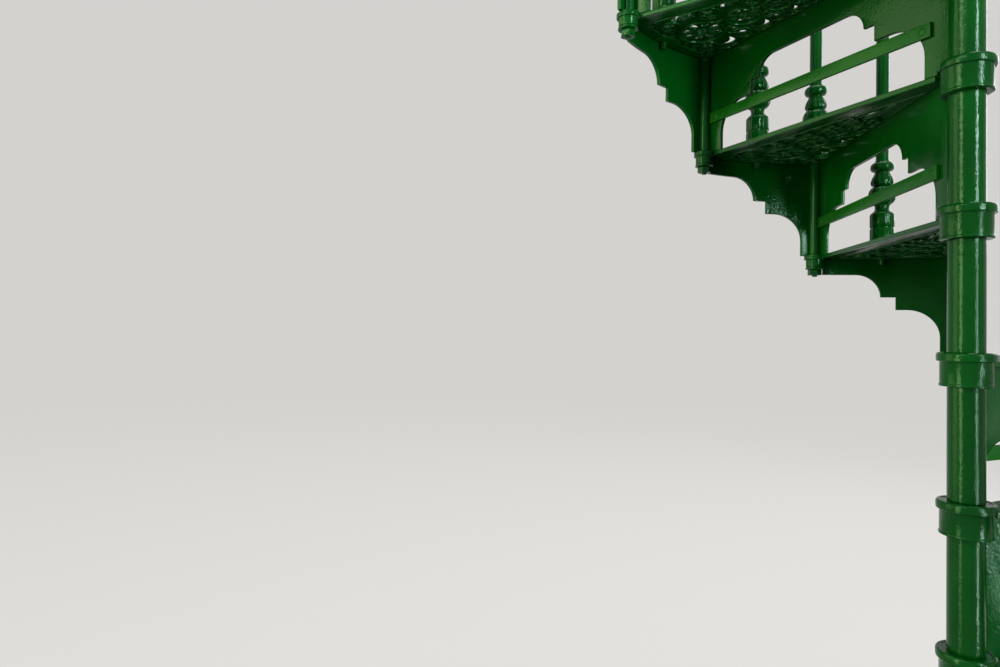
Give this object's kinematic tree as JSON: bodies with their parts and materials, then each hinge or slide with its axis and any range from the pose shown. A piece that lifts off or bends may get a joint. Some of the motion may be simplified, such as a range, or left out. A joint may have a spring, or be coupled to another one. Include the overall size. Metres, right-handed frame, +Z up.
{
  "type": "cast-iron spiral stair",
  "caption": "Spiral stair of pierced sector treads round a sleeved column, with open risers, scalloped brackets, turned balusters and a quarter landing.",
  "frame": {"origin": "on the column's axis, at floor level", "axes": "+Z up along the column; the flight starts at -Y and climbs counter-clockwise seen from above"},
  "size_m": [1.1999, 1.2, 3.2999],
  "materials": {
    "painted_iron": "thick glossy dark green paint with brush marks and small chips",
    "painted_rail": "glossy dark green paint, a little worn on top",
    "painted_fixings": "dark green paint, chipped at the corners",
    "steel_bar": "plain bar, hidden in the sleeves"
  },
  "bodies": {
    "root": {"base_plate": "painted_iron", "centre_pole": "steel_bar", "column_sleeves": "painted_iron", "tread_1": "painted_iron", "tread_2": "painted_iron", "tread_3": "painted_iron", "tread_4": "painted_iron", "tread_5": "painted_iron", "tread_6": "painted_iron", "tread_7": "painted_iron", "tread_8": "painted_iron", "tread_9": "painted_iron", "landing_plate": "painted_iron", "riser_1": "painted_iron", "riser_2": "painted_iron", "riser_3": "painted_iron", "riser_4": "painted_iron", "riser_5": "painted_iron", "riser_6": "painted_iron", "riser_7": "painted_iron", "riser_8": "painted_iron", "riser_9": "painted_iron", "riser_10": "painted_iron", "bracket_1": "painted_iron", "bracket_2": "painted_iron", "bracket_3": "painted_iron", "bracket_4": "painted_iron", "bracket_5": "painted_iron", "bracket_6": "painted_iron", "bracket_7": "painted_iron", "bracket_8": "painted_iron", "bracket_9": "painted_iron", "bracket_10": "painted_iron", "landing_skirt": "painted_iron", "guard_bars": "painted_iron", "corner_nuts": "painted_fixings", "corner_balusters": "painted_iron", "middle_balusters": "painted_iron", "landing_balusters": "painted_iron", "handrail": "painted_rail", "landing_rail": "painted_rail", "newel": "painted_iron", "newel_cap": "painted_iron"}
  },
  "joints": []
}
